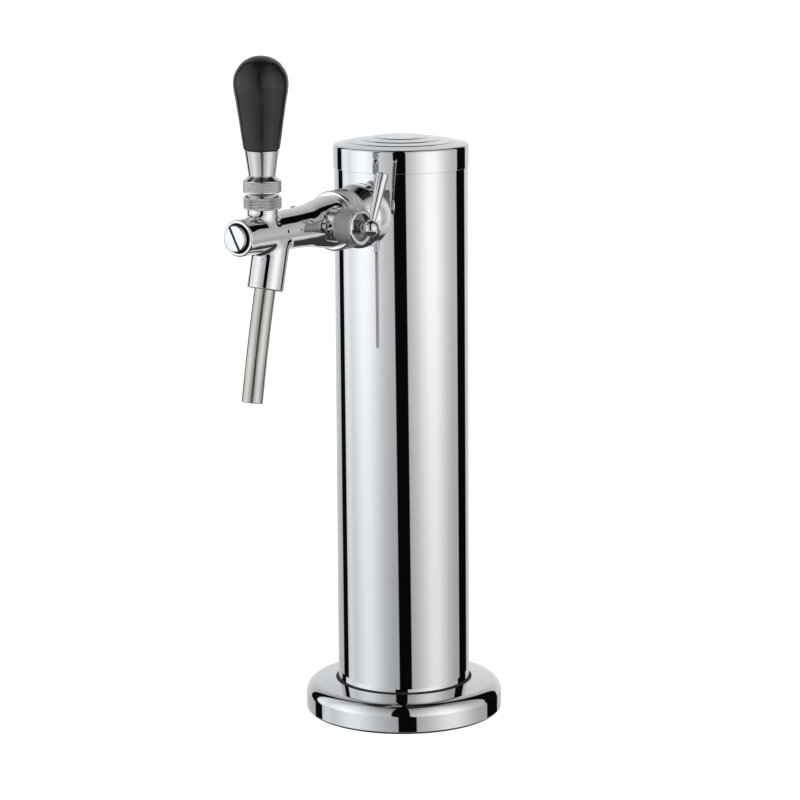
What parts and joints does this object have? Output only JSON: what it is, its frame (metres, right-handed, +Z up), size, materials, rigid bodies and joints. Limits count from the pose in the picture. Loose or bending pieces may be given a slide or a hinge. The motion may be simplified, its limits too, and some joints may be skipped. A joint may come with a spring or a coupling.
{
  "type": "beer tap tower",
  "caption": "Chromed beer column on a round base flange, with a forward compensator tap, black grip handle, side flow lever and a steel spout.",
  "frame": {"origin": "on the column's axis, in the plane of the base's underside that stands on the bar top, at the centre of the bolt circle", "axes": "+Z up along the column; -Y is the way the tap points, to the person who pours; +X is the side of the flow lever"},
  "size_m": [0.1118, 0.202, 0.3831],
  "materials": {
    "column_chrome": "mirror-polished chrome plate on a drawn steel tube",
    "flange_chrome": "polished chrome plate on spun steel",
    "tap_chrome": "polished chrome plate on cast and turned brass",
    "stainless": "satin stainless steel",
    "plated_steel": "zinc-plated steel",
    "brass": "machined brass",
    "rubber": "black moulded rubber",
    "white_nylon": "natural nylon",
    "black_grip": "satin black moulded plastic"
  },
  "bodies": {
    "tower": {"base_gasket": "rubber", "mounting_plate": "plated_steel", "flange_screws": "plated_steel", "base_flange": "flange_chrome", "column_seal_ring": "rubber", "column_tube": "column_chrome", "shank_tube": "brass", "shank_gasket": "rubber", "saddle_flange": "tap_chrome", "inner_saddle_washer": "plated_steel", "shank_lock_nut": "brass", "tailpiece_washer": "rubber", "tailpiece_elbow": "stainless", "tailpiece_nut": "brass", "coupling_nut": "tap_chrome", "coupling_washer": "rubber", "tap_body": "tap_chrome", "guide_screw": "tap_chrome", "front_plug": "tap_chrome", "front_plug_seal": "rubber", "ball_seat_ring": "white_nylon", "bonnet_washer": "white_nylon", "bonnet_nut": "tap_chrome", "spout_tube": "stainless", "spout_seal": "rubber", "compensator_nut": "tap_chrome", "compensator_collar": "tap_chrome", "compensator_washer": "white_nylon"},
    "cap": {"column_cap": "flange_chrome", "cap_seal_ring": "rubber"},
    "handle": {"lever": "stainless", "lock_ring": "tap_chrome", "handle_ferrule": "tap_chrome", "handle_stud": "plated_steel", "handle_grip": "black_grip"},
    "valve": {"piston_shaft": "stainless", "seat_washer": "rubber", "seat_washer_nut": "brass"},
    "flow_lever": {"compensator_spindle": "stainless", "spindle_o_rings": "rubber", "compensator_hub": "tap_chrome", "hub_screw": "stainless", "compensator_lever": "tap_chrome"},
    "flow_cone": {"compensator_cone": "white_nylon"}
  },
  "joints": [
    {"name": "cap_lift", "type": "slide", "parent": "tower", "child": "cap", "axis": [0, 0, 1], "range_m": [0, 0.04]},
    {"name": "handle_pull", "type": "hinge", "parent": "tower", "child": "handle", "pos_m": [0, -0.1225, 0.3035], "axis": [1, 0, 0], "range_deg": [0, 30]},
    {"name": "piston_slide", "type": "slide", "parent": "tower", "child": "valve", "axis": [0, 1, 0], "range_m": [0, 0.0075]},
    {"name": "flow_lever_turn", "type": "hinge", "parent": "tower", "child": "flow_lever", "pos_m": [0.025, -0.0735, 0.289], "axis": [1, 0, 0], "range_deg": [-60, 60]},
    {"name": "flow_cone_slide", "type": "slide", "parent": "tower", "child": "flow_cone", "axis": [0, 1, 0], "range_m": [-0.002, 0.002]}
  ],
  "couplings": [
    {"joint": "piston_slide", "follows": "handle_pull", "m_per_rad": 0.0142},
    {"joint": "flow_cone_slide", "follows": "flow_lever_turn", "m_per_rad": 0.0019}
  ]
}
